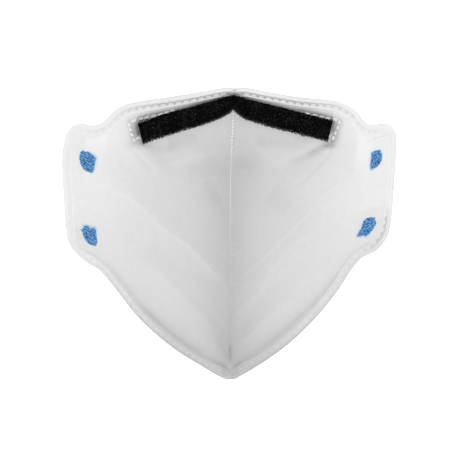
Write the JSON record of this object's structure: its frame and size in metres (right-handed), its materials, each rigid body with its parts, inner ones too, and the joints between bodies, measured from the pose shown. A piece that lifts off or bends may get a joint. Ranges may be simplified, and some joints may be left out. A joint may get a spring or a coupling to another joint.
{
  "type": "disposable respirator",
  "caption": "Vertical-fold disposable respirator, opened out and lying hollow side up, with a black nose foam and blue elastic headbands under it.",
  "frame": {"origin": "on the ground plane under the middle of the opened mask", "axes": "+X across the face, +Y from the chin to the nose, +Z from the front fold up towards the wearer's face"},
  "size_m": [0.17, 0.1504, 0.0601],
  "materials": {
    "nonwoven_laminate": "matte spunbond nonwoven, heat welded at the edge",
    "black_foam": "open-cell foam with a velvety cut face",
    "blue_elastic": "braided elastic, ends heat welded"
  },
  "bodies": {
    "root": {"filter_shell": "nonwoven_laminate", "nose_foam": "black_foam", "headband_upper": "blue_elastic", "headband_lower": "blue_elastic"}
  },
  "joints": []
}
